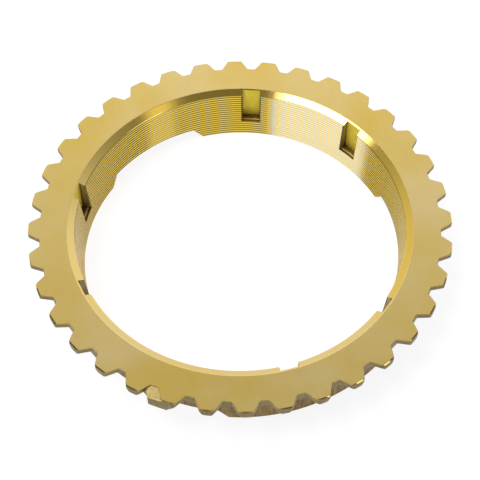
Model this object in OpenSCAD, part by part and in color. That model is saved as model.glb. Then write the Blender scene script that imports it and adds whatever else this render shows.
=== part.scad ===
// Synchronizer ring: a toothed brass ring with a grooved cone bore, oil slots and key notches.
// The axis is Z. The lug feet stand on Z = 0 and the flat toothed face looks up.

/* [Cone bore] */
// Diameter at the large end of the cone
cone_top_d = 62.55; // [54:0.05:72]
// Angle between the cone's surface and the axis
cone_half_angle = 5.4; // [4:0.1:8]
// Width of the lead-in chamfer, seen from above
lead_in_w = 1.42; // [0.8:0.02:2.4]
// Depth of the lead-in chamfer below the toothed face
lead_in_depth = 0.7; // [0.3:0.05:1.5]

/* [Body] */
// Height from the lug feet to the toothed face
height = 11.3; // [10:0.1:16]
// Thickness of the wall at the large end of the cone
wall_t = 4; // [3:0.05:6]
// Chamfer on the outer lower edge of the wall
foot_chamfer = 0.3; // [0.1:0.05:0.8]
// How far the flange stands out from the wall, up to the tooth roots
flange_reach = 2.55; // [1.8:0.05:4]
// Thickness of the flange and its teeth
flange_t = 2.15; // [1.8:0.05:4]

/* [Teeth] */
// Number of teeth around the flange
tooth_count = 36; // [24:1:42]
// Height of a tooth from root to tip
tooth_h = 2.175; // [1.5:0.025:3]
// Width of a tooth at its tip
tip_w = 2.55; // [2.1:0.05:3.2]
// Width of a tooth at its root
root_w = 5.1; // [4:0.05:5.6]
// Turned chamfer on the upper edge of the tooth tips
tip_chamfer = 0.22; // [0.05:0.01:0.6]
// Width of the chamfer under each tooth flank
flank_chamfer_w = 0.7; // [0.2:0.05:0.8]
// Height of the chamfer under each tooth flank
flank_chamfer_h = 1.1; // [0.4:0.05:1.5]
// Angle of the first tooth from +X
tooth_phase = 1.1; // [0:0.1:10]

/* [Grooves] */
// Distance from one oil groove to the next
groove_pitch = 0.585; // [0.5:0.005:1.2]
// Width of an oil groove at the cone's surface
groove_w = 0.32; // [0.15:0.01:0.45]
// Depth of an oil groove
groove_depth = 0.16; // [0.05:0.01:0.3]

/* [Slots] */
// Width of an oil slot
slot_w = 3.5; // [2:0.05:6]
// Depth of a slot behind the large end of the cone
slot_depth = 1.12; // [0.5:0.02:2]
// Length of a slot below the toothed face
slot_len = 7.8; // [4:0.1:8.6]
// Angle from a notch's middle to the slots on its two sides
slot_offset = 40; // [28:0.5:58]

/* [Notches] */
// Number of notches in the lower edge
notch_count = 3; // [2:1:3]
// Angle that the level roof of a notch spans
notch_angle = 35.6; // [20:0.1:44]
// Height of a notch above the lug feet
notch_depth = 2.5; // [1:0.1:3.2]
// How far each slanted notch end runs out at the feet
notch_ramp = 1.95; // [0.5:0.05:3]
// Angle of the first notch's middle from +X
notch_phase = 5.5; // [0:0.1:10]

/* [Stop] */
// Tooth that carries the ramped stop, counted from the first
stop_tooth = 25; // [0:1:35]
// Width of the stop beyond the tooth's flank
stop_w = 2.2; // [0.8:0.05:3]
// Depth of the stop's ramp below the toothed face, at the tooth
stop_step = 0.08; // [0.02:0.01:0.4]
// Fall of the ramp from the tooth to its free side
stop_drop = 0.6; // [0.3:0.05:1.6]
// Fall of the ramp along the tooth, from root to tip
stop_fall = 0.45; // [0.1:0.05:0.8]
// Depth of the stop's underside below the toothed face
stop_t = 3.2; // [2.3:0.05:4]
// How far the stop's end stays inside the tooth tips
stop_setback = 0.06; // [0.02:0.01:0.5]

/* [Hidden] */
$fn = 180;
// Radii, each built out from the cone
cone_h = height - lead_in_depth;
cone_top_r = cone_top_d / 2;
cone_foot_r = cone_top_r - cone_h * tan(cone_half_angle);
rim_r = cone_top_r + lead_in_w;
body_r = cone_top_r + wall_t;
root_r = body_r + flange_reach;
tip_r = root_r + tooth_h;
slot_back_r = cone_top_r + slot_depth;
// Heights of the flange's underside and of the chamfers under the tooth flanks
flange_z = height - flange_t;
flank_z = flange_z + flank_chamfer_h;
// Grooves that fit down the cone, with equal plain ends
groove_count = floor(cone_h / groove_pitch);
groove_first = (cone_h - (groove_count - 1) * groove_pitch) / 2;
// Plan position of a tooth's corners, and the lean of its flank from the radius
tip_x = sqrt(tip_r ^ 2 - (tip_w / 2) ^ 2);
root_x = sqrt(root_r ^ 2 - (root_w / 2) ^ 2);
flank_run = norm([tip_x - root_x, (root_w - tip_w) / 2]);
flank_lean = atan2((root_w - tip_w) / 2, tip_x - root_x);
// How far a cut runs past a face, and how far a tooth is rooted in the flange
overcut = flange_t / 4;
root_overlap = flange_reach / 3;

// Radius of the plain cone at height z
function cone_r(z) = cone_foot_r + z * tan(cone_half_angle);

// Three corners of the oil groove centred at height z
function groove_corners(z) = [
    [cone_r(z + groove_w / 2), z + groove_w / 2],
    [cone_r(z) + groove_depth, z],
    [cone_r(z - groove_w / 2), z - groove_w / 2]
];

// Turned section of the blank: wall, flange out to the tooth tips, lead-in and grooved cone
module blank_section() {
    outer = [
        [body_r - foot_chamfer, 0],
        [body_r, foot_chamfer],
        [body_r, flange_z],
        [tip_r, flange_z],
        [tip_r, height - tip_chamfer],
        [tip_r - tip_chamfer, height],
        [rim_r, height],
        [cone_top_r, cone_h]
    ];
    grooves = [
        for (i = [0 : groove_count - 1])
            each groove_corners(cone_h - groove_first - i * groove_pitch)
    ];
    polygon(concat(outer, grooves, [[cone_foot_r, 0]]));
}

// Bar along the tooth flank on the +Y side, started inside the roots by a given length and
// run out past the far corner of the tip; its section has the flank plane at x = 0
module flank_bar(section, rooted = root_overlap) {
    run_out = tip_w * sin(flank_lean) + overcut;
    translate([root_x, root_w / 2, 0])
        rotate([0, 0, -flank_lean])
            translate([-rooted, 0, 0])
                rotate([90, 0, 90])
                    linear_extrude(rooted + flank_run + run_out)
                        polygon(section);
}

// One tooth along +X, left long at its tip and above and below the blank
module tooth() {
    slope = flank_chamfer_w / flank_chamfer_h;
    section = [
        [-root_w, height + overcut],
        [0, height + overcut],
        [0, flank_z],
        [-flank_chamfer_w - slope * overcut, flange_z - overcut],
        [-root_w, flange_z - overcut]
    ];
    intersection() {
        flank_bar(section);
        mirror([0, 1, 0]) flank_bar(section);
    }
}

// What the tooth cutter leaves: everything inside the roots, and the teeth
module tooth_ring() {
    translate([0, 0, -2 * overcut]) cylinder(r = root_r, h = height + 4 * overcut);
    for (i = [0 : tooth_count - 1])
        rotate(tooth_phase + i * 360 / tooth_count) tooth();
}

// All above the stop's ramp, which starts at the foot of the tooth's +Y flank and falls two ways
module above_ramp() {
    fall_tilt = atan2(stop_fall, flank_run);
    drop_tilt = atan2(stop_drop * cos(fall_tilt), stop_w);
    translate([root_x, root_w / 2, height - stop_step])
        rotate([0, 0, -flank_lean])
            rotate([-drop_tilt, fall_tilt, 0])
                translate([-root_w, -root_w, 0])
                    cube([2 * root_w, 2 * root_w, root_w]);
}

// Stop beside one tooth: its top ramps down from the foot of the tooth's flank
module ramped_stop() {
    lap = flank_chamfer_w + tip_w / 8;
    section = [
        [-lap, height - stop_t],
        [-lap, height - 2 * stop_step],
        [0, height - stop_step],
        [stop_w, height - stop_step],
        [stop_w, height - stop_t]
    ];
    rotate(tooth_phase + stop_tooth * 360 / tooth_count)
        intersection() {
            mirror([0, 1, 0])
                difference() {
                    flank_bar(section, root_overlap + stop_w * tan(flank_lean));
                    above_ramp();
                }
            cylinder(r = tip_r - stop_setback, h = height);
        }
}

// Blind slot in the bore, open at the toothed face, along +X
module slot_cut() {
    slot_front_r = cone_foot_r - slot_depth;
    translate([slot_front_r, -slot_w / 2, height - slot_len])
        cube([slot_back_r - slot_front_r, slot_w, slot_len + overcut]);
}

// One side of a notch: all that lies beyond the slanted end, to the +Y side
module notch_side() {
    slope = notch_ramp / notch_depth;
    rise = notch_depth + overcut;
    rotate(-notch_angle / 2)
        translate([cone_foot_r / 2, 0, 0])
            rotate([90, 0, 90])
                linear_extrude(tip_r)
                    polygon([
                        [slope * overcut, rise],
                        [-notch_ramp - slope * overcut, -overcut],
                        [tip_r, -overcut],
                        [tip_r, rise]
                    ]);
}

// Notch in the lower edge with slanted ends, its middle along +X
module notch_cut() {
    intersection() {
        notch_side();
        mirror([0, 1, 0]) notch_side();
        translate([0, 0, -2 * overcut]) cylinder(r = tip_r, h = notch_depth + 2 * overcut);
    }
}

// The whole ring, one piece of brass
module synchronizer_ring() {
    color([0.80, 0.66, 0.33])
        difference() {
            union() {
                intersection() {
                    rotate_extrude() blank_section();
                    tooth_ring();
                }
                ramped_stop();
            }
            for (i = [0 : notch_count - 1])
                rotate(notch_phase + i * 360 / notch_count) {
                    notch_cut();
                    for (side = [-1, 1])
                        rotate(side * slot_offset) slot_cut();
                }
        }
}

synchronizer_ring();
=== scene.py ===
"""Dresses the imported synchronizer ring: one fine brass mesh, a pale studio and the photograph's camera.

Sizes are in millimetres and angles in degrees, in the frame of the CAD. Meshes are made in metres.
"""

import logging
import math
from dataclasses import dataclass, field
from enum import Enum, IntEnum

import bmesh
import bpy
from mathutils import Matrix, Vector

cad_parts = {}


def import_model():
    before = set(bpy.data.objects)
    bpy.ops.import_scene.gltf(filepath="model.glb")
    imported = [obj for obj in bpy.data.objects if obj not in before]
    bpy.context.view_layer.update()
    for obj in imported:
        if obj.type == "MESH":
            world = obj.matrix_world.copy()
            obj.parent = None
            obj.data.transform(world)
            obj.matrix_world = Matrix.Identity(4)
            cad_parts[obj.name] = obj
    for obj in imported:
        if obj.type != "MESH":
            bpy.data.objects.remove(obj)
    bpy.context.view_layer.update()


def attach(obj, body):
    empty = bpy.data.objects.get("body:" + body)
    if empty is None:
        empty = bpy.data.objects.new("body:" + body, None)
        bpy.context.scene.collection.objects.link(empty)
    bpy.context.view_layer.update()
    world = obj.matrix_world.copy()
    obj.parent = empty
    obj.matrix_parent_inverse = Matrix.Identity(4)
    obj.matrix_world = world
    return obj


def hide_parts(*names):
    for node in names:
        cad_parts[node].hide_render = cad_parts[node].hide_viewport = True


Plan = tuple[float, float]
Span = tuple[float, float]
Point = tuple[float, float, float]
Colour = tuple[float, float, float]
Tree = bpy.types.NodeTree
Socket = bpy.types.NodeSocket

LOG = logging.getLogger("synchronizer_ring")
MM = 0.001
FULL_TURN = 360.0
QUARTER_TURN = 90.0
# Height of the toothed face above the feet, and radius of the tooth tips
HEIGHT = 11.3
TIP_R = 40.0
# Width of the broken edges
EDGE_BREAK = 0.05
# Difference below which two sizes or two angles count as one
NEAR = 0.01


def wrap(angle: float) -> float:
    """Angle brought into the range from -180 to 180 degrees."""
    return (angle + FULL_TURN / 2) % FULL_TURN - FULL_TURN / 2


def mix(start: float, end: float, share: float) -> float:
    """Value at a share of the way from start to end."""
    return start + (end - start) * share


def between(start: tuple[float, ...], end: tuple[float, ...], share: float) -> tuple[float, ...]:
    """Point at a share of the way from one point to another."""
    return tuple(mix(here, there, share) for here, there in zip(start, end))


def turned(point: Plan, angle: float) -> Plan:
    """Plan point turned about the axis by an angle.

    Args:
        point: Point to turn.
        angle: Angle to turn it by.

    Returns:
        The turned point.
    """
    cosine = math.cos(math.radians(angle))
    sine = math.sin(math.radians(angle))
    return (cosine * point[0] - sine * point[1], sine * point[0] + cosine * point[1])


def polar(radius: float, angle: float) -> Plan:
    """Plan point at a radius and an angle about the axis."""
    return turned((radius, 0.0), angle)


def bearing(point: Plan) -> float:
    """Angle of a plan point about the axis."""
    return math.degrees(math.atan2(point[1], point[0]))


class Surface(IntEnum):
    """Finishes of the ring, in the order of its material slots; several are darker or lighter copies of
    the brass, as painted shade or light.
    """

    FACE = 0
    EDGE = 1
    FLANK = 2
    WALL = 3
    LEAD_IN = 4
    CONE = 5
    GROOVE = 6
    SLOT = 7
    SLOT_SIDE = 8
    # Dark brass that paints shade into the slots' corners, mouths and floors and onto the foot chamfer
    STAIN = 9
    STOP = 10


class Zone(Enum):
    """Parts of the ring's section that take their places in different ways."""

    FACE = "face"
    TOOTH = "tooth"
    UNDER = "under"
    WALL = "wall"
    BORE = "bore"


class StopLine(IntEnum):
    """Lines of the section that the stop moves, from the toothed face down."""

    NONE = -1
    RIM = 0
    BREAK = 1
    RAMP_INNER = 2
    RAMP_OUTER = 3
    SIDE_FOOT = 4
    UNDER_OUTER = 5
    UNDER_INNER = 6


class FloorLine(IntEnum):
    """Lines of the bore that make a slot's stepped floor, from its front to its back."""

    NONE = -1
    FRONT = 0
    STEP_FOOT = 1
    STEP_TOP = 2
    BACK = 3


@dataclass(frozen=True)
class ToothLevel:
    """Plan outline of the teeth at one height.

    Attributes:
        z: Height of the outline.
        inset: How far the flanks stand back from their full width.
        tip_r: Radius of the tooth tips.
        root_r: Radius of the tooth roots.
    """

    z: float
    inset: float
    tip_r: float
    root_r: float


@dataclass(frozen=True)
class UnderStep:
    """One line of the rounding under the teeth.

    Attributes:
        share: Share of the way from the foot of the full flanks to the underside.
        inset: How far the flanks stand back there.
        tip_cut: How far the tips stand back there.
    """

    share: float
    inset: float
    tip_cut: float


@dataclass(frozen=True)
class Row:
    """One line of the section that runs right around the ring.

    Attributes:
        zone: Part of the section that the line belongs to.
        radius: Radius of the line, where no tooth or slot moves it.
        z: Height of the line, where no notch moves it.
        surface: Finish of the band from this line to the next.
        level: Outline that the line follows, on the teeth.
        stop_line: Place of the line among those that the stop moves.
        floor_line: Place of the line among those that make a slot's floor.
        above_floor: Whether the line lies above the floor of the slots.
        crisp: Whether the line is an edge, however flat its corner is.
    """

    zone: Zone
    radius: float
    z: float
    surface: Surface
    level: ToothLevel | None = None
    stop_line: StopLine = StopLine.NONE
    floor_line: FloorLine = FloorLine.NONE
    above_floor: bool = False
    crisp: bool = False

    def meets_slots(self) -> bool:
        """Whether the slots cut the line."""
        return self.above_floor or self.floor_line is not FloorLine.NONE


@dataclass(frozen=True)
class Station:
    """One angle at which the section is set out.

    Attributes:
        angle: Angle about the axis.
        on_stop: Whether the stop fills the tooth gap here.
    """

    angle: float
    on_stop: bool = False


@dataclass
class ToothedFlange:
    """Flange with teeth that are chamfered at their tips and rounded under their flanks.

    Attributes:
        phase: Angle of the first tooth.
        flank_z: Height down to which the flanks are full.
        under_steps: Lines of the rounding between the full flanks and the underside.
        under_tip_cut: How far the tips stand back at the underside.
        soft_tip: Angle over which the corners at the tips are eased, to each side.
        soft_root: Angle over which the corners at the roots are eased, to each side.
        tip_part: Angle from a tooth's middle to its tip's corner.
        root_part: Angle from a tooth's middle to its root's corner.
        along: Direction outwards along the +Y flank of a tooth along +X.
        away: Direction away from that flank.
        reach: How far the flank lies from the axis.
        foot: How far along the flank its foot lies.
        flank_run: Length of the flank.
    """

    count: int = 36
    phase: float = 1.1
    root_r: float = 37.825
    tip_r: float = TIP_R
    root_w: float = 5.1
    tip_w: float = 2.55
    top_z: float = HEIGHT
    flank_z: float = 10.25
    under_z: float = 9.15
    tip_chamfer: float = 0.22
    flank_chamfer: float = 0.7
    under_tip_cut: float = 0.3
    edge_break: float = EDGE_BREAK
    soft_tip: float = 0.26
    soft_root: float = 0.2
    under_steps: tuple[UnderStep, ...] = (
        UnderStep(0.5, 0.22, 0.0),
        UnderStep(0.76, 0.43, 0.03),
        UnderStep(0.92, 0.6, 0.13),
    )
    pitch: float = field(init=False)
    tip_part: float = field(init=False)
    root_part: float = field(init=False)
    along: Plan = field(init=False)
    away: Plan = field(init=False)
    reach: float = field(init=False)
    foot: float = field(init=False)
    flank_run: float = field(init=False)

    def __post_init__(self) -> None:
        """Works out the flank's direction and the angles of the tooth's corners."""
        root_x = math.sqrt(self.root_r**2 - (self.root_w / 2) ** 2)
        tip_x = math.sqrt(self.tip_r**2 - (self.tip_w / 2) ** 2)
        lean = math.atan2((self.root_w - self.tip_w) / 2, tip_x - root_x)
        self.pitch = FULL_TURN / self.count
        self.tip_part = math.degrees(math.asin(self.tip_w / 2 / self.tip_r))
        self.root_part = math.degrees(math.asin(self.root_w / 2 / self.root_r))
        self.along = (math.cos(lean), -math.sin(lean))
        self.away = (math.sin(lean), math.cos(lean))
        self.reach = self.away[0] * root_x + self.away[1] * self.root_w / 2
        self.foot = self.along[0] * root_x + self.along[1] * self.root_w / 2
        self.flank_run = math.hypot(tip_x - root_x, (self.root_w - self.tip_w) / 2)

    def middle(self, angle: float) -> float:
        """Angle of the middle of the tooth nearest to an angle."""
        return self.phase + self.pitch * round((angle - self.phase) / self.pitch)

    def on_tip(self, angle: float) -> bool:
        """Whether an angle lies within the tip of the nearest tooth."""
        return abs(angle - self.middle(angle)) < self.tip_part

    def corners(self) -> tuple[Span, Span]:
        """Angles from a tooth's middle to its corners, each with that of its easing."""
        return ((self.tip_part, self.soft_tip), (self.root_part, self.soft_root))

    def flank_point(self, radius: float, inset: float) -> Plan:
        """Where a flank meets a circle, for a tooth along +X.

        Args:
            radius: Radius of the circle.
            inset: How far the flank stands back towards the tooth's middle.

        Returns:
            The plan point on the +Y flank.
        """
        across = self.reach - inset
        run = math.sqrt(radius**2 - across**2)
        x = across * self.away[0] + run * self.along[0]
        y = across * self.away[1] + run * self.along[1]
        return (x, y)

    def plain(self, part: float, level: ToothLevel) -> Plan:
        """Point on half a tooth's outline with sharp corners, for a tooth along +X.

        Args:
            part: Angle from the tooth's middle, measured on the full outline.
            level: Outline to follow.

        Returns:
            The plan point on the +Y half.
        """
        tip = self.flank_point(level.tip_r, level.inset)
        root = self.flank_point(level.root_r, level.inset)
        if part <= self.tip_part:
            return polar(level.tip_r, bearing(tip) * part / self.tip_part)
        if part <= self.root_part:
            share = (part - self.tip_part) / (self.root_part - self.tip_part)
            return between(tip, root, share)
        share = (part - self.root_part) / (self.pitch / 2 - self.root_part)
        return polar(level.root_r, mix(bearing(root), self.pitch / 2, share))

    def rounded(self, part: float, level: ToothLevel) -> Plan:
        """Point on half a tooth's outline with eased corners.

        Args:
            part: Angle from the tooth's middle, measured on the full outline.
            level: Outline to follow.

        Returns:
            The plan point on the +Y half of a tooth along +X.
        """
        for corner, soft in self.corners():
            share = (part - corner + soft) / (2 * soft)
            if 0.0 < share < 1.0:
                start = self.plain(corner - soft, level)
                peak = self.plain(corner, level)
                end = self.plain(corner + soft, level)
                return between(between(start, peak, share), between(peak, end, share), share)
        return self.plain(part, level)

    def outline(self, angle: float, level: ToothLevel) -> Plan:
        """Point of the toothed outline at an angle.

        Args:
            angle: Angle about the axis, measured on the full outline.
            level: Outline to follow.

        Returns:
            The plan point.
        """
        middle = self.middle(angle)
        part = angle - middle
        x, y = self.rounded(abs(part), level)
        return turned((x, math.copysign(y, part)), middle)

    def full_level(self) -> ToothLevel:
        """Outline at the foot of the full flanks."""
        return ToothLevel(self.flank_z, 0.0, self.tip_r, self.root_r)

    def levels(self) -> list[ToothLevel]:
        """Outlines from the toothed face down to the flange's underside.

        Returns:
            The outlines, one for each line of the teeth.
        """
        cut = self.edge_break
        face_tip_r = self.tip_r - self.tip_chamfer
        levels = [
            ToothLevel(self.top_z, cut, face_tip_r, self.root_r - cut),
            ToothLevel(self.top_z - cut, 0.0, face_tip_r + cut, self.root_r),
            ToothLevel(self.top_z - self.tip_chamfer, 0.0, self.tip_r, self.root_r),
            self.full_level(),
        ]
        for step in self.under_steps:
            z = mix(self.flank_z, self.under_z, step.share)
            levels.append(ToothLevel(z, step.inset, self.tip_r - step.tip_cut, self.root_r))
        inset = self.flank_chamfer + 2 * cut
        under_tip_r = self.tip_r - self.under_tip_cut
        levels.append(ToothLevel(self.under_z, inset, under_tip_r, self.root_r - cut))
        return levels

    def angles(self) -> list[float]:
        """Angles at which the outline turns, with those of its eased corners.

        Returns:
            The angles, tooth by tooth.
        """
        parts = [0.0]
        for corner, soft in self.corners():
            parts += [corner - soft, corner, corner + soft]
        found = []
        for tooth in range(self.count):
            middle = self.phase + tooth * self.pitch
            found += [middle + part for part in parts]
            found += [middle - part for part in parts[1:]]
            found.append(middle + self.pitch / 2)
        return found


@dataclass
class RampedStop:
    """Stop that fills the gap beside one tooth, with a top that falls away from the tooth's foot.

    Attributes:
        flange: Flange that carries the stop.
        tooth: Tooth that carries the stop, counted from the first.
        step: Depth of the ramp's upper end below the toothed face.
        drop: Fall of the ramp from the tooth to the free side.
        fall: Fall of the ramp along the tooth, from root to tip.
        depth: Depth of the underside below the toothed face.
        inner_r: Radius at which the underside ends.
        under_tip: Angle over which the lower part reaches under the tooth.
        run_out: Angle over which the lower part ends.
        tail: How far the tail lowers the tooth's underside.
        halvings: Rounds of the search for the free side's inner end.
    """

    flange: ToothedFlange
    tooth: int = 25
    width: float = 2.2
    step: float = 0.08
    drop: float = 0.6
    fall: float = 0.45
    depth: float = 3.2
    inner_r: float = 36.3
    under_tip: float = 0.95
    run_out: float = 0.45
    tail: float = 0.85
    halvings: int = 40

    def middle(self) -> float:
        """Angle of the tooth that carries the stop."""
        return self.flange.phase + self.tooth * self.flange.pitch

    def away(self, point: Plan) -> float:
        """How far a plan point lies from the carrying tooth's flank."""
        x, y = turned(point, -self.middle())
        return self.flange.away[0] * x - self.flange.away[1] * y - self.flange.reach

    def along(self, point: Plan) -> float:
        """How far a plan point lies outside the foot of the carrying tooth's flank."""
        x, y = turned(point, -self.middle())
        return self.flange.along[0] * x - self.flange.along[1] * y - self.flange.foot

    def side_r(self, angle: float) -> float:
        """Radius of the free side at an angle.

        Args:
            angle: Angle about the axis.

        Returns:
            The radius.
        """
        part = math.radians(self.middle() - angle)
        lean = self.flange.away[0] * math.cos(part) + self.flange.away[1] * math.sin(part)
        return (self.flange.reach + self.width) / lean

    def start(self) -> float:
        """Angle at which the free side meets the next tooth's flank.

        Returns:
            The angle.
        """
        level = self.flange.full_level()
        low = self.middle() - self.flange.pitch + self.flange.tip_part
        high = self.middle() - self.flange.pitch + self.flange.root_part
        for _ in range(self.halvings):
            middle = (low + high) / 2
            if self.away(self.flange.outline(middle, level)) > self.width:
                low = middle
            else:
                high = middle
        return high

    def ramp_end(self) -> float:
        """Angle at which the ramp meets the carrying tooth's tip."""
        return self.middle() - self.flange.tip_part + self.flange.soft_tip

    def end(self) -> float:
        """Angle to which the stop's lower part reaches under the carrying tooth."""
        return self.ramp_end() + self.under_tip

    def corner(self) -> float:
        """Angle of the stop's outer free corner."""
        return self.middle() - bearing(self.flange.flank_point(self.flange.tip_r, -self.width))

    def tail_drop(self, z: float, angle: float) -> float:
        """How far the stop's tail lowers the carrying tooth's underside.

        Args:
            z: Height of the point without the tail.
            angle: Angle about the axis.

        Returns:
            The drop, which is nothing away from the tooth and above its chamfers.
        """
        flange = self.flange
        part = angle - self.middle()
        if z > flange.flank_z or not -flange.tip_part < part < flange.tip_part:
            return 0.0
        low = (flange.flank_z - max(z, flange.under_z)) / (flange.flank_z - flange.under_z)
        return self.tail * low * (1.0 - part / flange.tip_part)

    def ramp_z(self, point: Plan) -> float:
        """Height of the sloping top over a plan point.

        Args:
            point: Plan point.

        Returns:
            The height.
        """
        aside = max(self.away(point), 0.0) / self.width
        outwards = self.along(point) / self.flange.flank_run
        return self.flange.top_z - self.step - max(self.drop * aside + self.fall * outwards, 0.0)

    def place(self, line: StopLine, angle: float) -> Point:
        """Place of one of the stop's lines at an angle.

        Args:
            line: Which line.
            angle: Angle about the axis.

        Returns:
            The point on the line.
        """
        levels = self.flange.levels()
        under_tip = angle > self.ramp_end() + NEAR
        if line <= StopLine.BREAK or (under_tip and line <= StopLine.RAMP_OUTER):
            return (*self.flange.outline(angle, levels[line]), levels[line].z)
        if line is StopLine.RAMP_INNER:
            inner = self.flange.outline(angle, levels[StopLine.BREAK])
            return (*inner, self.ramp_z(inner))
        under = self.flange.top_z - self.depth
        if line is StopLine.UNDER_INNER:
            return (*polar(self.inner_r, angle), under)
        radius = min(self.side_r(angle), self.flange.tip_r)
        outer = polar(radius, angle)
        if line is StopLine.RAMP_OUTER:
            return (*outer, self.ramp_z(outer))
        if line is StopLine.SIDE_FOOT:
            return (*outer, under + self.flange.edge_break)
        return (*polar(radius - self.flange.edge_break, angle), under)


@dataclass
class KeyNotches:
    """Notches in the lower edge, with slanted ends.

    Attributes:
        phase: Angle of the first notch's middle.
        half_angle: Angle from a notch's middle to the ends of its level roof.
        ramp: How far each slanted end runs out at the feet.
        edge: Angle between the roof's end and the head of the slanted end.
        ease: Angle beyond the roof over which the slant's shift of the stations fades.
    """

    count: int = 3
    phase: float = 5.5
    roof_z: float = 2.5
    half_angle: float = 17.8
    ramp: float = 1.95
    edge: float = 0.15
    ease: float = 8.0

    def part(self, angle: float) -> float:
        """Angle from the middle of the nearest notch."""
        pitch = FULL_TURN / self.count
        return wrap(angle - self.phase - pitch * round((angle - self.phase) / pitch))

    def inside(self, angle: float) -> bool:
        """Whether an angle lies under a notch's roof."""
        return abs(self.part(angle)) < self.half_angle - self.edge / 2

    def slid(self, angle: float, radius: float, z: float) -> float:
        """Angle moved along by the slant of a notch's end.

        Args:
            angle: Angle about the axis.
            radius: Radius of the point.
            z: Height of the point.

        Returns:
            The angle at which the point stands.
        """
        part = self.part(angle)
        beyond = abs(part) - self.half_angle
        if z >= self.roof_z or beyond > self.ease:
            return angle
        run = self.ramp * (1.0 - z / self.roof_z)
        shift = math.degrees(math.asin(run / radius)) * (1.0 - max(beyond, 0.0) / self.ease)
        return angle + math.copysign(shift, part)

    def angles(self) -> list[float]:
        """Angles at which the roofs and the slanted ends begin.

        Returns:
            The angles, notch by notch.
        """
        found = []
        for notch in range(self.count):
            middle = self.phase + notch * FULL_TURN / self.count
            for side in (-1, 1):
                found.append(middle + side * self.half_angle)
                found.append(middle + side * (self.half_angle - self.edge))
        return found


@dataclass
class OilSlots:
    """Blind slots down the bore, open at the lead-in.

    Attributes:
        centres: Angles of the slots' middles.
        edge_break: Width of the broken edges at the mouth.
        floor_step: Half the height of the step in the floor.
        floor_front: Length of the floor in front of the step.
        floor_rise: Length of the step's slope.
        side_lift: Rise of the sides' lower lines from the back to the mouth.
        floor_lines: Heights of the floor's lines on the plain cone, from the floor.
        outside_part: Angle from a slot's middle to the outside of its broken edges.
        mouth_part: Angle of the stations that make its mouth.
        side_parts: Angles of the stations that part its sides.
        back_part: Angle of the stations that make its back corners.
    """

    centres: tuple[float, ...] = (45.5, 85.5, 165.5, 205.5, 285.5, 325.5)
    width: float = 3.5
    back_r: float = 32.395
    floor_z: float = 3.5
    edge_break: float = 0.2
    floor_step: float = 0.05
    floor_front: float = 0.5
    floor_rise: float = 0.25
    side_lift: float = 0.02
    floor_lines: tuple[float, ...] = (-0.07, -0.025, 0.025, 0.07)
    outside_part: float = 3.75
    mouth_part: float = 3.2
    side_parts: Span = (3.14, 3.03)
    back_part: float = 2.95

    def part(self, angle: float) -> tuple[float, float]:
        """Nearest slot's angle, and the angle from its middle."""
        centre = min(self.centres, key=lambda slot: abs(wrap(angle - slot)))
        return centre, wrap(angle - centre)

    def angles(self) -> list[float]:
        """Angles of each slot's edges, mouth, sides and back corners, with two more between.

        Returns:
            The angles, slot by slot.
        """
        edges = (self.outside_part, self.mouth_part, *self.side_parts)
        parts = (*edges, self.back_part, self.back_part / 3)
        return [centre + side * part for centre in self.centres for part in parts for side in (-1, 1)]

    def keep_out(self, angle: float) -> bool:
        """Whether an angle lies between a slot's edge and its back corner."""
        return self.back_part < abs(self.part(angle)[1]) < self.outside_part


@dataclass
class ConeBore:
    """Cone with turned oil grooves under a lead-in chamfer.

    Attributes:
        top_r: Radius at the cone's large end.
        cone_h: Height of the cone's large end.
        rim_r: Radius at which the lead-in meets the toothed face.
        lead_in_mid_r: Radius of a line along the lead-in.
        corner_break: Width of the small facet between the cone and the lead-in.
        corner_zone: Depth below the cone's large end over which a slot's edges stay sharp.
    """

    top_r: float = 31.275
    foot_r: float = 30.273
    rim_r: float = 32.695
    lead_in_mid_r: float = 31.75
    cone_h: float = 10.6
    top_z: float = HEIGHT
    groove_count: int = 18
    groove_pitch: float = 0.585
    groove_w: float = 0.32
    groove_depth: float = 0.16
    edge_break: float = EDGE_BREAK
    corner_break: float = 0.06
    corner_zone: float = 0.1

    def cone_r(self, z: float) -> float:
        """Radius of the plain cone at a height."""
        return mix(self.foot_r, self.top_r, z / self.cone_h)

    def lead_in_z(self, radius: float) -> float:
        """Height of the lead-in chamfer at a radius."""
        share = (radius - self.top_r) / (self.rim_r - self.top_r)
        return mix(self.cone_h, self.top_z, share)

    def groove_lines(self) -> list[tuple[float, float, Surface]]:
        """Radius, height and finish of each groove's three lines, from the lowest up.

        Returns:
            The lines.
        """
        first = (self.cone_h - (self.groove_count - 1) * self.groove_pitch) / 2
        half = self.groove_w / 2
        lines = []
        for groove in range(self.groove_count):
            z = first + groove * self.groove_pitch
            lines.append((self.cone_r(z - half), z - half, Surface.GROOVE))
            lines.append((self.cone_r(z) + self.groove_depth, z, Surface.GROOVE))
            lines.append((self.cone_r(z + half), z + half, Surface.CONE))
        return lines


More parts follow.
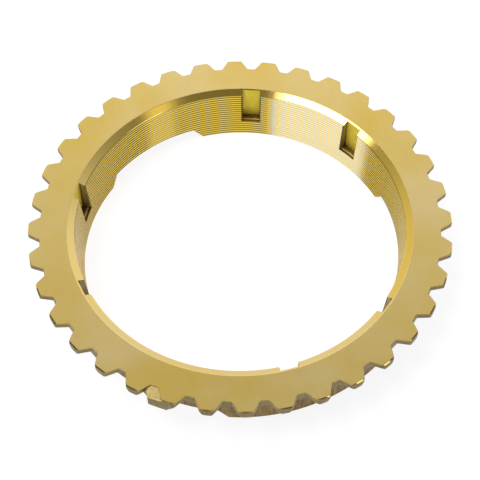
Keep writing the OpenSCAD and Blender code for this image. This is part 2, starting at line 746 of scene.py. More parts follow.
@dataclass
class SynchronizerRing:
    """The whole ring, set out as a closed section at many stations around the axis.

    Attributes:
        name: Name of the piece.
        node: CAD node that it stands in for.
        fillet_r: Radius of the fillet under the flange.
        face_rings: Radii of lines on the toothed face.
        under_r: Radius of a line on the flange's underside.
        wall_heights: Heights of lines on the outer wall.
        foot_rings: Radii of lines under the feet.
        stop_gap: Angle between the two stations that make each end of the stop.
        sharp_angle: Angle between faces above which an edge is sharp.
        weld: Distance below which points are joined.
    """

    name: str = "synchronizer_ring_brass"
    node: str = "synchronizer_ring"
    body_r: float = 35.275
    foot_chamfer: float = 0.3
    fillet_r: float = 0.35
    fillet_parts: int = 4
    face_rings: tuple[float, ...] = (34.2, 36.4)
    under_r: float = 36.6
    wall_heights: tuple[float, ...] = (7.0, 4.8, 2.9)
    foot_rings: tuple[float, ...] = (33.4, 31.8)
    stop_gap: float = 0.05
    sharp_angle: float = 32.0
    weld: float = 0.008
    flange: ToothedFlange = field(default_factory=ToothedFlange)
    notches: KeyNotches = field(default_factory=KeyNotches)
    slots: OilSlots = field(default_factory=OilSlots)
    bore: ConeBore = field(default_factory=ConeBore)
    stop: RampedStop = field(init=False)

    def __post_init__(self) -> None:
        """Sets the stop on the flange."""
        self.stop = RampedStop(self.flange)

    def stations(self) -> list[Station]:
        """Every angle at which the section is set out, in order around the axis.

        Returns:
            The stations.
        """
        gap = self.stop_gap
        start = self.stop.start()
        ramp_end = self.stop.ramp_end()
        end = self.stop.end()
        teeth = [angle for angle in self.flange.angles() if not self.slots.keep_out(angle)]
        stations = []
        for angle in teeth + self.slots.angles() + self.notches.angles():
            angle = angle % FULL_TURN
            at_edge = min(abs(angle - start), abs(angle - ramp_end)) <= gap
            if not at_edge and not end <= angle <= end + self.stop.run_out:
                stations.append(Station(angle, start < angle < end))
        stations.append(Station(start - gap))
        for angle in (start, self.stop.corner(), ramp_end, ramp_end + gap, end):
            stations.append(Station(angle, True))
        stations.append(Station(end + self.stop.run_out))
        return sorted(stations, key=lambda station: station.angle)

    def face_rows(self) -> list[Row]:
        """Lines of the toothed face, from the bore's rim outwards.

        Returns:
            The lines.
        """
        rim = self.bore.rim_r + self.bore.edge_break
        top = self.flange.top_z
        rows = [Row(Zone.FACE, rim, top, Surface.FACE, crisp=True)]
        rows += [Row(Zone.FACE, radius, top, Surface.FACE) for radius in self.face_rings]
        return rows

    def tooth_rows(self) -> list[Row]:
        """Lines of the teeth, from the toothed face down to the underside.

        Returns:
            The lines.
        """
        # The edge breaks take the darkened edge brass, and the flanks and underside the darkened flank
        # and wall brass, all painted shade
        lines = (
            (StopLine.RIM, Surface.EDGE),
            (StopLine.BREAK, Surface.EDGE),
            (StopLine.RAMP_INNER, Surface.FLANK),
            (StopLine.RAMP_OUTER, Surface.FLANK),
            (StopLine.SIDE_FOOT, Surface.FLANK),
            (StopLine.SIDE_FOOT, Surface.FLANK),
            (StopLine.UNDER_OUTER, Surface.EDGE),
            (StopLine.UNDER_OUTER, Surface.WALL),
        )
        rows = []
        for level, (line, finish) in zip(self.flange.levels(), lines):
            rows.append(Row(Zone.TOOTH, level.tip_r, level.z, finish, level, line))
        return rows

    def wall_rows(self) -> list[Row]:
        """Lines of the underside, its fillet, the outer wall and the feet.

        Returns:
            The lines.
        """
        under = self.flange.under_z
        # The underside, fillet, wall and feet take the darkened wall brass: painted shade
        finish = Surface.WALL
        rows = [Row(Zone.UNDER, self.under_r, under, finish, stop_line=StopLine.UNDER_INNER)]
        for part in range(self.fillet_parts + 1):
            turn = math.radians(QUARTER_TURN * part / self.fillet_parts)
            radius = self.body_r + self.fillet_r * (1.0 - math.sin(turn))
            z = under - self.fillet_r * (1.0 - math.cos(turn))
            rows.append(Row(Zone.UNDER, radius, z, finish))
        for z in (*self.wall_heights, self.notches.roof_z, self.notches.roof_z / 2):
            rows.append(Row(Zone.WALL, self.body_r, z, finish))
        # The foot chamfer takes the dark brass as a painted shadow line at the foot
        rows.append(Row(Zone.WALL, self.body_r, self.foot_chamfer, Surface.STAIN))
        for radius in (self.body_r - self.foot_chamfer, *self.foot_rings):
            rows.append(Row(Zone.WALL, radius, 0.0, finish))
        return rows

    def cone_rows(self) -> list[Row]:
        """Lines of the grooved cone and of the slots' floors, from the feet up.

        Returns:
            The lines.
        """
        cut = self.bore.edge_break
        floor = self.slots.floor_z
        rows = [Row(Zone.BORE, self.bore.foot_r + cut, 0.0, Surface.EDGE)]
        rows.append(Row(Zone.BORE, self.bore.cone_r(cut), cut, Surface.CONE))
        for radius, z, finish in self.bore.groove_lines():
            rows.append(Row(Zone.BORE, radius, z, finish, above_floor=z > floor))
        for step, lift in enumerate(self.slots.floor_lines):
            z = floor + lift
            line = FloorLine(step)
            radius = self.bore.cone_r(z)
            rows.append(Row(Zone.BORE, radius, z, Surface.CONE, floor_line=line, above_floor=lift > 0.0))
        return sorted(rows, key=lambda row: row.z)

    def lead_in_rows(self) -> list[Row]:
        """Lines of the lead-in, from the cone's large end up to the rim.

        Returns:
            The lines.
        """
        bore = self.bore
        corner_z = bore.cone_h - bore.corner_break
        facet_r = bore.top_r + bore.corner_break
        places = [(bore.cone_r(corner_z), corner_z)]
        for radius in (facet_r, bore.lead_in_mid_r, self.slots.back_r, bore.rim_r - bore.edge_break):
            places.append((radius, bore.lead_in_z(radius)))
        last = len(places) - 1
        rows = []
        for rank, (radius, z) in enumerate(places):
            finish = Surface.FACE if rank == last else Surface.LEAD_IN
            crisp = rank in (0, 1, last)
            rows.append(Row(Zone.BORE, radius, z, finish, above_floor=True, crisp=crisp))
        return rows

    def slot_place(self, row: Row, angle: float) -> Point | None:
        """Place of one of the bore's lines where a slot moves it.

        Args:
            row: Line of the bore.
            angle: Angle of the station.

        Returns:
            The point, or None where no slot reaches.
        """
        slots = self.slots
        line = row.floor_line
        centre, part = slots.part(angle)
        reach = abs(part)
        if reach > slots.outside_part + NEAR or row.radius > slots.back_r + NEAR:
            return None
        if not row.meets_slots():
            return None
        if slots.back_part + NEAR < reach < slots.mouth_part - NEAR:
            share = (slots.mouth_part - reach) / (slots.mouth_part - slots.back_part)
            mouth = self.slot_place(row, centre + math.copysign(slots.mouth_part, part))
            back = self.slot_place(row, centre + math.copysign(slots.back_part, part))
            return between(mouth, back, share)
        half = slots.width / 2
        low = slots.floor_z - slots.floor_step
        high = slots.floor_z + slots.floor_step
        z = row.z
        if reach > slots.mouth_part + NEAR:
            across = half + slots.edge_break
            depth = math.sqrt(row.radius**2 - across**2)
        elif reach > slots.back_part + NEAR:
            across = half
            depth = math.sqrt(row.radius**2 - across**2)
            if line is not FloorLine.NONE:
                z = (low, low + slots.side_lift, high, high + slots.side_lift)[line]
            elif row.z < self.bore.cone_h - self.bore.corner_zone:
                depth += slots.edge_break
        elif line in (FloorLine.FRONT, FloorLine.STEP_FOOT, FloorLine.STEP_TOP):
            across = half * reach / slots.back_part
            z = high if line is FloorLine.STEP_TOP else low
            depth = math.sqrt(self.bore.cone_r(low) ** 2 - across**2)
            depth += (0.0, slots.floor_front, slots.floor_front + slots.floor_rise)[line]
        else:
            across = half * reach / slots.back_part
            depth = slots.back_r
            z = high if line is FloorLine.BACK else max(z, high)
            if row.radius > slots.back_r - NEAR:
                z = self.bore.lead_in_z(math.hypot(depth, across))
        return (*turned((depth, math.copysign(across, part)), centre), z)

    def place(self, row: Row, station: Station) -> Point:
        """Point where one line of the section passes a station.

        Args:
            row: Line of the section.
            station: Angle about the axis.

        Returns:
            The point.
        """
        angle = station.angle
        if row.stop_line is not StopLine.NONE and station.on_stop:
            return self.stop.place(row.stop_line, angle)
        drop = 0.0
        if row.stop_line >= StopLine.SIDE_FOOT:
            drop = self.stop.tail_drop(row.z, angle)
        if row.zone is Zone.TOOTH:
            return (*self.flange.outline(angle, row.level), row.z - drop)
        if row.zone in (Zone.FACE, Zone.UNDER):
            return (*polar(row.radius, angle), row.z - drop)
        if row.zone is Zone.BORE:
            cut = self.slot_place(row, angle)
            if cut is not None:
                return cut
        if self.notches.inside(angle) and row.z < self.notches.roof_z:
            radius = row.radius
            if row.zone is Zone.BORE:
                radius = self.bore.cone_r(self.notches.roof_z)
            elif row.z > 0.0:
                radius = self.body_r
            return (*polar(radius, angle), self.notches.roof_z)
        return (*polar(row.radius, self.notches.slid(angle, row.radius, row.z)), row.z)

    def finish_of(self, row: Row, here: Station, beyond: Station) -> Surface:
        """Finish of the patch between two stations, below one line.

        Args:
            row: Line above the patch.
            here: Station at the patch's start.
            beyond: Station at the patch's end.

        Returns:
            The finish.
        """
        slots = self.slots
        ends = (here, beyond)
        if row.stop_line is StopLine.RAMP_INNER and all(end.on_stop for end in ends):
            if beyond.angle < self.stop.ramp_end() + NEAR:
                return Surface.STOP
        if row.stop_line is StopLine.BREAK and all(self.flange.on_tip(end.angle) for end in ends):
            return Surface.LEAD_IN
        if row.zone is not Zone.BORE or not row.meets_slots() or row.radius > slots.back_r - NEAR:
            return row.surface
        reaches = [abs(slots.part(end.angle)[1]) for end in ends]
        if min(reaches) > slots.mouth_part + NEAR:
            return row.surface
        # Painted shade: the slots' mouths, their floors in front of and behind the step, and their side
        # corners take the dark brass
        if max(reaches) > slots.mouth_part + NEAR:
            return Surface.LEAD_IN if row.surface is Surface.LEAD_IN else Surface.STAIN
        if row.floor_line in (FloorLine.FRONT, FloorLine.STEP_TOP):
            return Surface.STAIN
        if max(reaches) > slots.back_part + NEAR:
            in_corner = min(reaches) < slots.side_parts[-1] - NEAR
            return Surface.STAIN if in_corner else Surface.SLOT_SIDE
        # The step's slope takes the paler face brass, a painted highlight strip, and the back wall the
        # brightened slot brass, painted light
        return Surface.FACE if row.floor_line is FloorLine.STEP_FOOT else Surface.SLOT

    def grid(self) -> bmesh.types.BMesh:
        """Makes the ring's faces from its lines and stations.

        Returns:
            The closed mesh, joined where points meet and with its sharp edges marked.
        """
        rows = self.face_rows() + self.tooth_rows() + self.wall_rows()
        rows += self.cone_rows() + self.lead_in_rows()
        stations = self.stations()
        grid = bmesh.new()
        lines = []
        for station in stations:
            places = [self.place(row, station) for row in rows]
            lines.append([grid.verts.new((x * MM, y * MM, z * MM)) for x, y, z in places])
        for column, here in enumerate(stations):
            following = (column + 1) % len(stations)
            near = lines[column]
            far = lines[following]
            for rank, row in enumerate(rows):
                below = (rank + 1) % len(rows)
                patch = grid.faces.new((near[rank], near[below], far[below], far[rank]))
                patch.material_index = self.finish_of(row, here, stations[following])
                patch.smooth = True
                if row.crisp:
                    grid.edges.get((near[rank], far[rank])).smooth = False
        bmesh.ops.remove_doubles(grid, verts=grid.verts, dist=self.weld * MM)
        bmesh.ops.dissolve_degenerate(grid, edges=grid.edges, dist=self.weld * MM / 2)
        for edge in grid.edges:
            if edge.calc_face_angle(0.0) > math.radians(self.sharp_angle):
                edge.smooth = False
        return grid

    def build(self) -> bpy.types.Object:
        """Makes the ring and puts it in the CAD node's place.

        Returns:
            The new object.
        """
        grid = self.grid()
        mesh = bpy.data.meshes.new(self.name)
        grid.to_mesh(mesh)
        grid.free()
        ring = bpy.data.objects.new(self.name, mesh)
        bpy.context.scene.collection.objects.link(ring)
        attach(ring, "root")
        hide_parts(self.node)
        return ring

    def dress(self, ring: bpy.types.Object, finishes: "dict[Surface, BrassFinish]") -> None:
        """Gives each surface of the ring its finish.

        Args:
            ring: Object that build made.
            finishes: Finish of each surface.
        """
        for surface in Surface:
            ring.data.materials.append(finishes[surface].material())


def combined(tree: Tree, operation: str, first: Socket, second: Socket | float = 0.0) -> Socket:
    """Adds a math node.

    Args:
        tree: Nodes to add to.
        operation: What the node does.
        first: First value.
        second: Second value, linked or plain.

    Returns:
        The node's result.
    """
    node = tree.nodes.new("ShaderNodeMath")
    node.operation = operation
    tree.links.new(first, node.inputs[0])
    if isinstance(second, float):
        node.inputs[1].default_value = second
    else:
        tree.links.new(second, node.inputs[1])
    return node.outputs["Value"]


def dot_product(tree: Tree, vector: Socket, axis: Vector | Point) -> Socket:
    """Adds a node that measures a vector along an axis.

    Args:
        tree: Nodes to add to.
        vector: Vector to measure.
        axis: Axis to measure along.

    Returns:
        The length along the axis.
    """
    node = tree.nodes.new("ShaderNodeVectorMath")
    node.operation = "DOT_PRODUCT"
    node.inputs[1].default_value = axis
    tree.links.new(vector, node.inputs[0])
    return node.outputs["Value"]


def ranged(tree: Tree, value: Socket, source: Span, target: Span, way: str = "LINEAR") -> Socket:
    """Adds a node that maps one range onto another.

    Args:
        tree: Nodes to add to.
        value: Value to map.
        source: Range of the value.
        target: Range of the result.
        way: Course of the result over the range.

    Returns:
        The mapped value.
    """
    node = tree.nodes.new("ShaderNodeMapRange")
    node.interpolation_type = way
    node.inputs["From Min"].default_value = source[0]
    node.inputs["From Max"].default_value = source[1]
    node.inputs["To Min"].default_value = target[0]
    node.inputs["To Max"].default_value = target[1]
    tree.links.new(value, node.inputs["Value"])
    return node.outputs["Result"]


def eased(tree: Tree, value: Socket, source: Span, target: Span) -> Socket:
    """Adds a node that maps one range onto another with soft ends."""
    return ranged(tree, value, source, target, "SMOOTHSTEP")


def noise(tree: Tree, where: Socket, scale: float, detail: float, roughness: float) -> Socket:
    """Adds a noise.

    Args:
        tree: Nodes to add to.
        where: Place at which the noise is read.
        scale: Spots to a metre.
        detail: Number of finer layers.
        roughness: Strength of the finer layers.

    Returns:
        The noise's value.
    """
    node = tree.nodes.new("ShaderNodeTexNoise")
    node.inputs["Scale"].default_value = scale
    node.inputs["Detail"].default_value = detail
    node.inputs["Roughness"].default_value = roughness
    tree.links.new(where, node.inputs["Vector"])
    return node.outputs["Fac"]


class Course(Enum):
    """Ways in which the tool's marks run over a surface."""

    GRAIN = "fine even grain"
    TURNED = "lines around the axis"
    STREAKED = "lines along the axis"


@dataclass(frozen=True)
class ToolMarks:
    """What the tool left on a surface.

    Attributes:
        course: Way in which the marks run.
        scale: Marks to a metre.
        depth: Depth of the marks, in millimetres.
        detail: Number of finer layers in the marks.
        roughness: Strength of the finer layers.
        streak_pace: Pace of the change along streaks, against that across them.
    """

    course: Course
    scale: float
    depth: float
    detail: float = 4.0
    roughness: float = 0.6
    streak_pace: float = 0.12

    def add(self, tree: Tree, where: Socket) -> Socket:
        """Adds the noise that stands for the marks.

        Args:
            tree: Material's nodes.
            where: Place on the ring, in metres.

        Returns:
            The noise's value.
        """
        if self.course is not Course.GRAIN:
            where = self.drawn_out(tree, where)
        return noise(tree, where, self.scale, self.detail, self.roughness)

    def drawn_out(self, tree: Tree, where: Socket) -> Socket:
        """Adds nodes that draw a place out along the marks.

        Args:
            tree: Material's nodes.
            where: Place on the ring, in metres.

        Returns:
            The place at which the noise is read.
        """
        parts = tree.nodes.new("ShaderNodeSeparateXYZ")
        tree.links.new(where, parts.inputs["Vector"])
        flat = tree.nodes.new("ShaderNodeCombineXYZ")
        tree.links.new(parts.outputs["X"], flat.inputs["X"])
        tree.links.new(parts.outputs["Y"], flat.inputs["Y"])
        if self.course is Course.STREAKED:
            slow = combined(tree, "MULTIPLY", parts.outputs["Z"], self.streak_pace)
            tree.links.new(slow, flat.inputs["Z"])
            return flat.outputs["Vector"]
        radius = tree.nodes.new("ShaderNodeVectorMath")
        radius.operation = "LENGTH"
        tree.links.new(flat.outputs["Vector"], radius.inputs[0])
        line = tree.nodes.new("ShaderNodeCombineXYZ")
        tree.links.new(radius.outputs["Value"], line.inputs["X"])
        tree.links.new(parts.outputs["Z"], line.inputs["Z"])
        return line.outputs["Vector"]


@dataclass(frozen=True)
class BrassFinish:
    """One machined finish of the brass, whose colours on some surfaces also carry painted shade or
    painted light.

    Attributes:
        name: Name of the material.
        light: Colour where the metal is clean.
        dark: Colour where it is dull.
        rough: Roughness.
        rough_spread: How far the roughness varies to each side.
        marks: What the tool left.
        patch_scale: Colour patches to a metre.
        stretch: Share of the reflection's stretch across the marks.
        metal: Share that shines as metal, where the rest is dull.
        patch_share: Share of the colour's change that the patches make, where the marks make the rest.
        patch_detail: Number of finer layers in the patches.
        patch_roughness: Strength of the finer layers.
        shade_span: Range over which the patches and marks turn the colour from dark to light.
        rough_span: Range of the marks over which the roughness varies.
        stretch_turn: Direction of the stretch, in turns from the line around the axis.
    """

    name: str
    light: Colour
    dark: Colour
    rough: float
    rough_spread: float
    marks: ToolMarks
    patch_scale: float
    stretch: float = 0.0
    metal: float = 1.0
    patch_share: float = 0.5
    patch_detail: float = 3.0
    patch_roughness: float = 0.5
    shade_span: Span = (0.35, 0.65)
    rough_span: Span = (0.3, 0.7)
    stretch_turn: float = 0.25

    def material(self) -> bpy.types.Material:
        """Makes the finish's material.

        Returns:
            The new material.
        """
        made = bpy.data.materials.new(self.name)
        made.use_nodes = True
        tree = made.node_tree
        shader = tree.nodes["Principled BSDF"]
        shader.inputs["Metallic"].default_value = self.metal
        where = tree.nodes.new("ShaderNodeTexCoord").outputs["Object"]
        marks = self.marks.add(tree, where)
        tree.links.new(self.shade(tree, where, marks), shader.inputs["Base Color"])
        dull_to_clean = (self.rough + self.rough_spread, self.rough - self.rough_spread)
        rough = ranged(tree, marks, self.rough_span, dull_to_clean)
        tree.links.new(rough, shader.inputs["Roughness"])
        bump = tree.nodes.new("ShaderNodeBump")
        bump.inputs["Strength"].default_value = 1.0
        bump.inputs["Distance"].default_value = self.marks.depth * MM
        tree.links.new(marks, bump.inputs["Height"])
        tree.links.new(bump.outputs["Normal"], shader.inputs["Normal"])
        if self.stretch > 0.0:
            around = tree.nodes.new("ShaderNodeTangent")
            around.direction_type = "RADIAL"
            around.axis = "Z"
            tree.links.new(around.outputs["Tangent"], shader.inputs["Tangent"])
            shader.inputs["Anisotropic"].default_value = self.stretch
            shader.inputs["Anisotropic Rotation"].default_value = self.stretch_turn
        return made

    def shade(self, tree: Tree, where: Socket, marks: Socket) -> Socket:
        """Adds the colour, which varies with the patches and the marks.

        Args:
            tree: Material's nodes.
            where: Place on the ring, in metres.
            marks: Value of the tool's marks.

        Returns:
            The colour.
        """
        patches = noise(tree, where, self.patch_scale, self.patch_detail, self.patch_roughness)
        patch_part = combined(tree, "MULTIPLY", patches, self.patch_share)
        mark_part = combined(tree, "MULTIPLY", marks, 1.0 - self.patch_share)
        clean = combined(tree, "ADD", mark_part, patch_part)
        shades = tree.nodes.new("ShaderNodeMix")
        shades.data_type = "RGBA"
        shades.inputs["A"].default_value = (*self.dark, 1.0)
        shades.inputs["B"].default_value = (*self.light, 1.0)
        tree.links.new(ranged(tree, clean, self.shade_span, (0.0, 1.0)), shades.inputs["Factor"])
        return shades.outputs["Result"]


FINE_TURNING = ToolMarks(Course.TURNED, 5000.0, 0.0001)
MILLING = ToolMarks(Course.STREAKED, 2200.0, 0.02)

FINISHES: dict[Surface, BrassFinish] = {
    Surface.FACE: BrassFinish(
        name="lapped_brass_face",
        light=(0.87, 0.685, 0.31),
        dark=(0.815, 0.575, 0.12),
        rough=0.36,
        rough_spread=0.05,
        marks=ToolMarks(Course.GRAIN, 3400.0, 0.004),
        patch_scale=60.0,
        patch_share=0.7,
    ),
    # Painted shade: a darker copy of the face's brass on the broken edges, for the dark lines along them
    Surface.EDGE: BrassFinish(
        name="broken_brass_edge_painted_shade",
        light=(0.5, 0.36, 0.12),
        dark=(0.4, 0.28, 0.08),
        rough=0.45,
        rough_spread=0.06,
        marks=ToolMarks(Course.GRAIN, 3000.0, 0.004),
        patch_scale=120.0,
    ),
    # Painted shade: the broached flanks take a brass darkened to a shaded brown
    Surface.FLANK: BrassFinish(
        name="broached_brass_flank_painted_shade",
        light=(0.24, 0.18, 0.074),
        dark=(0.165, 0.122, 0.046),
        rough=0.42,
        rough_spread=0.08,
        marks=ToolMarks(Course.STREAKED, 3000.0, 0.01),
        patch_scale=150.0,
    ),
    # Painted shade: the underside and outer wall take a brass darkened to a shaded dark brown, with
    # darker streaks
    Surface.WALL: BrassFinish(
        name="painted_shade_brass_wall",
        light=(0.33, 0.218, 0.075),
        dark=(0.12, 0.08, 0.027),
        rough=0.5,
        rough_spread=0.1,
        marks=ToolMarks(Course.STREAKED, 2200.0, 0.012),
        patch_scale=120.0,
    ),
    Surface.LEAD_IN: BrassFinish(
        name="turned_brass_lead_in",
        light=(0.82, 0.6, 0.165),
        dark=(0.76, 0.55, 0.14),
        rough=0.11,
        rough_spread=0.02,
        marks=FINE_TURNING,
        patch_scale=60.0,
        stretch=0.3,
    ),
    Surface.CONE: BrassFinish(
        name="turned_brass_cone",
        light=(0.9, 0.63, 0.055),
        dark=(0.84, 0.57, 0.04),
        rough=0.28,
        rough_spread=0.03,
        marks=FINE_TURNING,
        patch_scale=60.0,
        stretch=0.6,
    ),
    # Painted highlight: the groove walls take a paler, near-white brass so that their reflections read as
    # white highlights
    Surface.GROOVE: BrassFinish(
        name="turned_brass_groove_painted_highlight",
        light=(0.79, 0.68, 0.42),
        dark=(0.73, 0.62, 0.37),
        rough=0.13,
        rough_spread=0.02,
        marks=FINE_TURNING,
        patch_scale=60.0,
        stretch=0.3,
    ),
    # Painted light: the slots' back walls take a brass brighter and yellower than the rest, so that they
    # stay lit down to the floor
    Surface.SLOT: BrassFinish(
        name="milled_brass_slot",
        light=(1.0, 0.8, 0.08),
        dark=(0.86, 0.66, 0.05),
        rough=0.55,
        rough_spread=0.08,
        marks=MILLING,
        patch_scale=500.0,
        metal=0.6,
    ),
    Surface.SLOT_SIDE: BrassFinish(
        name="milled_brass_slot_side",
        light=(0.56, 0.47, 0.3),
        dark=(0.38, 0.31, 0.18),
        rough=0.5,
        rough_spread=0.08,
        marks=MILLING,
        patch_scale=500.0,
    ),
    # Painted shade: dark brass for the slots' corners, mouths and floors and for the foot chamfer, where
    # shade falls
    Surface.STAIN: BrassFinish(
        name="painted_shade_brass_corner",
        light=(0.26, 0.18, 0.06),
        dark=(0.14, 0.09, 0.025),
        rough=0.5,
        rough_spread=0.08,
        marks=MILLING,
        patch_scale=700.0,
    ),
    Surface.STOP: BrassFinish(
        name="milled_brass_stop",
        light=(0.45, 0.35, 0.14),
        dark=(0.39, 0.3, 0.11),
        rough=0.5,
        rough_spread=0.06,
        marks=ToolMarks(Course.GRAIN, 2000.0, 0.006),
        patch_scale=150.0,
    ),
}


class Tint(Enum):
    """Colours of the studio's light."""

    WHITE = (1.0, 1.0, 1.0)
    PALE = (1.0, 1.01, 1.1)
    COOL = (0.87, 1.0, 1.4)
    WARM = (1.03, 0.95, 0.55)
    BLUE = (0.0, 0.1, 1.0)
    LEFT_SKY = (0.92, 0.87, 0.58)
    RIGHT_SKY = (1.05, 1.1, 1.5)
    HIGH_SKY = (1.0, 0.96, 0.7)


def tinted(tree: Tree, tint: Tint, glow: Socket) -> Socket:
    """Adds a node that gives a glow its colour.

    Args:
        tree: Nodes to add to.
        tint: Colour of the light.
        glow: Radiance of the light.

    Returns:
        The coloured light.
    """
    node = tree.nodes.new("ShaderNodeVectorMath")
    node.operation = "SCALE"
    node.inputs[0].default_value = tint.value
    tree.links.new(glow, node.inputs["Scale"])
    return node.outputs["Vector"]


@dataclass(frozen=True)
class Panel:
    """Bright patch of the surround, with soft edges.

    Attributes:
        angle: Angle about the axis at which its middle lies.
        height: Angle of its middle above the floor.
        half_width: Angle from its middle to its sides.
        half_length: Angle from its middle to its top.
        edge: Angle over which its edges fade.
        glow: Radiance, where 1 is white.
        tint: Colour of its light.
    """

    angle: float
    height: float
    half_width: float
    half_length: float
    edge: float
    glow: float
    tint: Tint = Tint.WHITE

    def add(self, tree: Tree, where: Socket) -> Socket:
        """Adds the nodes that make the patch.

        Args:
            tree: Surround's nodes.
            where: Direction that is looked at.

        Returns:
            The patch's light.
        """
        rise = math.radians(self.height)
        middle = Vector((*polar(math.cos(rise), self.angle), math.sin(rise)))
        side = Vector((*polar(1.0, self.angle + QUARTER_TURN), 0.0))
        ahead = dot_product(tree, where, middle)
        glow = combined(tree, "GREATER_THAN", ahead)
        glow = combined(tree, "MULTIPLY", glow, self.glow)
        for axis, half in ((side, self.half_width), (middle.cross(side), self.half_length)):
            off = combined(tree, "DIVIDE", dot_product(tree, where, axis), ahead)
            off = combined(tree, "ABSOLUTE", off)
            inner = math.tan(math.radians(half - self.edge / 2))
            outer = math.tan(math.radians(half + self.edge / 2))
            glow = combined(tree, "MULTIPLY", glow, eased(tree, off, (inner, outer), (1.0, 0.0)))
        return tinted(tree, self.tint, glow)


@dataclass
class Studio:
    """Pale floor, and a surround with bright panels that darkens overhead.

    Attributes:
        floor_drop: Depth of the floor below the feet.
        floor_glow: Brightness of the floor to the eye and in reflections.
        horizon: Radiance of the sky near the horizon.
        overhead: Radiance of the sky overhead.
        rise_span: Heights between which the sky turns from the horizon's to that overhead.
        front_share: Share of the sky's light that its front half keeps.
        back_axis: Direction towards the lit half of the sky.
        back_span: Lengths along that direction between which the sky brightens.
        middle_span: Distances to the left and right between which the sky takes its side's tint.
        panels: Bright patches of the surround.
    """

    floor_r: float = 6.0
    floor_sides: int = 96
    floor_drop: float = 0.01
    floor_colour: Colour = (0.28, 0.28, 0.28)
    floor_rough: float = 0.9
    floor_glow: float = 0.86
    horizon: float = 0.95
    overhead: float = 0.27
    rise_span: Span = (0.5, 0.95)
    front_share: float = 0.1
    back_axis: Point = (0.0, 1.0, 1.2)
    back_span: Span = (0.65, 1.05)
    middle_span: Span = (0.25, 0.6)
    panels: tuple[Panel, ...] = (
        # Highlights on the lead-in and the cone at the back right
        Panel(190.0, 65.7, 11.6, 10.8, 5.0, 6.3, Tint.PALE),
        Panel(216.0, 40.0, 24.5, 11.0, 7.0, 1.3, Tint.COOL),
        # Smaller highlights on the lead-in and the cone at the back left
        Panel(344.0, 68.0, 3.2, 8.0, 4.0, 0.8, Tint.WARM),
        Panel(320.0, 39.0, 7.0, 8.0, 6.0, 0.5, Tint.WARM),
        Panel(281.0, 43.5, 20.0, 7.0, 6.0, 0.2, Tint.WARM),
        # Light on the teeth and the wall at the front
        Panel(270.0, 15.0, 52.0, 8.0, 10.0, 0.75),
        Panel(326.0, 20.0, 11.0, 6.0, 5.0, 1.8),
        # Light on the toothed face and on the front of the lead-in
        Panel(85.0, 40.0, 22.0, 11.0, 8.0, 0.66),
        Panel(90.0, 13.0, 45.0, 9.0, 10.0, 0.5, Tint.BLUE),
    )

    def floor(self) -> bpy.types.Object:
        """Makes the floor.

        Returns:
            The floor.
        """
        disc = bmesh.new()
        bmesh.ops.create_circle(disc, cap_ends=True, segments=self.floor_sides, radius=self.floor_r)
        mesh = bpy.data.meshes.new("studio_floor")
        disc.to_mesh(mesh)
        disc.free()
        floor = bpy.data.objects.new("studio_floor", mesh)
        floor.location.z = -self.floor_drop * MM
        bpy.context.scene.collection.objects.link(floor)
        return floor

    def dress(self, floor: bpy.types.Object) -> None:
        """Paints the floor white to the eye and to reflections, with the ring's shadow on it.

        Args:
            floor: Floor to paint.
        """
        paint = bpy.data.materials.new("pale_floor")
        paint.use_nodes = True
        tree = paint.node_tree
        shader = tree.nodes["Principled BSDF"]
        shader.inputs["Base Color"].default_value = (*self.floor_colour, 1.0)
        shader.inputs["Roughness"].default_value = self.floor_rough
        shader.inputs["Specular IOR Level"].default_value = 0.0
        shader.inputs["Emission Color"].default_value = (*Tint.WHITE.value, 1.0)
        rays = tree.nodes.new("ShaderNodeLightPath")
        shown = rays.outputs["Is Camera Ray"]
        for kind in ("Is Glossy Ray", "Is Transmission Ray"):
            shown = combined(tree, "MAXIMUM", shown, rays.outputs[kind])
        glow = combined(tree, "MULTIPLY", shown, self.floor_glow)
        tree.links.new(glow, shader.inputs["Emission Strength"])
        floor.data.materials.append(paint)

    def sky(self, tree: Tree, where: Socket) -> list[Socket]:
        """Adds the sky, brighter near the horizon and behind the ring.

        Args:
            tree: Surround's nodes.
            where: Direction that is looked at.

        Returns:
            The light from overhead, and that of the horizon's left, middle and right.
        """
        parts = tree.nodes.new("ShaderNodeSeparateXYZ")
        tree.links.new(where, parts.inputs["Vector"])
        across = parts.outputs["X"]
        rise = parts.outputs["Z"]
        near, far = self.middle_span
        behind = dot_product(tree, where, self.back_axis)
        side = eased(tree, behind, self.back_span, (self.front_share, 1.0))
        low = eased(tree, rise, self.rise_span, (self.horizon, 0.0))
        low = combined(tree, "MULTIPLY", low, side)
        high = eased(tree, rise, self.rise_span, (0.0, self.overhead))
        off = combined(tree, "ABSOLUTE", across)
        shares = (
            (Tint.LEFT_SKY, eased(tree, across, (-far, -near), (1.0, 0.0))),
            (Tint.WHITE, eased(tree, off, (near, far), (1.0, 0.0))),
            (Tint.RIGHT_SKY, eased(tree, across, (near, far), (0.0, 1.0))),
        )
        lights = [tinted(tree, Tint.HIGH_SKY, combined(tree, "MULTIPLY", high, side))]
        for tint, share in shares:
            lights.append(tinted(tree, tint, combined(tree, "MULTIPLY", low, share)))
        return lights

    def surround(self) -> None:
        """Makes the surround from the panels and the sky."""
        world = bpy.data.worlds.new("studio_surround")
        world.use_nodes = True
        tree = world.node_tree
        where = tree.nodes.new("ShaderNodeTexCoord").outputs["Generated"]
        lights = [panel.add(tree, where) for panel in self.panels]
        lights += self.sky(tree, where)
        light = lights[0]
        for more in lights[1:]:
            both = tree.nodes.new("ShaderNodeVectorMath")
            tree.links.new(light, both.inputs[0])
            tree.links.new(more, both.inputs[1])
            light = both.outputs["Vector"]
        tree.links.new(light, tree.nodes["Background"].inputs["Color"])
        bpy.context.scene.world = world

    def build(self) -> bpy.types.Object:
        """Makes the floor and the surround.

        Returns:
            The floor.
        """
        floor = self.floor()
        self.dress(floor)
        self.surround()
        return floor


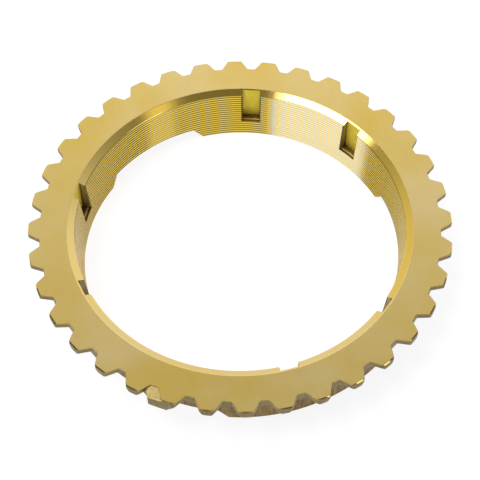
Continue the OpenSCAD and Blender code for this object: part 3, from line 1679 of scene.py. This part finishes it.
@dataclass
class PhotoCamera:
    """Camera at the photograph's place, in units of the toothed face's radius.

    Attributes:
        distance: Distance from the middle of the toothed face.
        focal_px: Focal length in pixels of the photograph.
        roll: Turn of the picture about the line of sight.
        aim: Point of the toothed face that the camera looks at.
        sensor: Width of the sensor, in millimetres.
        clip: Nearest and farthest distance seen, in metres.
    """

    radius: float = TIP_R
    face_z: float = HEIGHT
    elevation: float = 55.65071
    distance: float = 7.10995
    focal_px: float = 1507.2216
    image_px: float = 480.0
    roll: float = -0.57916
    aim: Plan = (-0.000935, -0.096176)
    sensor: float = 36.0
    clip: Span = (0.01, 50.0)

    def build(self) -> bpy.types.Object:
        """Makes the camera and gives it to the scene.

        Returns:
            The camera.
        """
        lens = bpy.data.cameras.new("photo_camera")
        lens.sensor_fit = "HORIZONTAL"
        lens.sensor_width = self.sensor
        lens.lens = self.focal_px / self.image_px * self.sensor
        lens.clip_start, lens.clip_end = self.clip
        camera = bpy.data.objects.new("photo_camera", lens)
        rise = math.radians(self.elevation)
        unit = self.radius * MM
        centre = Vector((0.0, 0.0, self.face_z * MM))
        place = centre + unit * self.distance * Vector((0.0, -math.cos(rise), math.sin(rise)))
        target = centre + unit * Vector((*self.aim, 0.0))
        back = (place - target).normalized()
        right = Vector((0.0, 0.0, 1.0)).cross(back).normalized()
        up = back.cross(right)
        turn = math.radians(self.roll)
        across = math.cos(turn) * right + math.sin(turn) * up
        upright = -math.sin(turn) * right + math.cos(turn) * up
        axes = Matrix((across, upright, back)).transposed()
        camera.matrix_world = Matrix.Translation(place) @ axes.to_4x4()
        bpy.context.scene.collection.objects.link(camera)
        bpy.context.scene.camera = camera
        return camera


def main() -> None:
    """Builds the camera, the ring and the studio."""
    logging.basicConfig(level=logging.INFO, format="%(message)s")
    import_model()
    camera = PhotoCamera().build()
    LOG.info("%s: in place", camera.name)
    maker = SynchronizerRing()
    ring = maker.build()
    LOG.info("%s: %d faces", ring.name, len(ring.data.polygons))
    maker.dress(ring, FINISHES)
    LOG.info("%s: %d finishes", ring.name, len(ring.data.materials))
    floor = Studio().build()
    LOG.info("%s: in place, with the surround", floor.name)
    bpy.context.scene.view_settings.view_transform = "Standard"


if __name__ == "__main__":
    main()
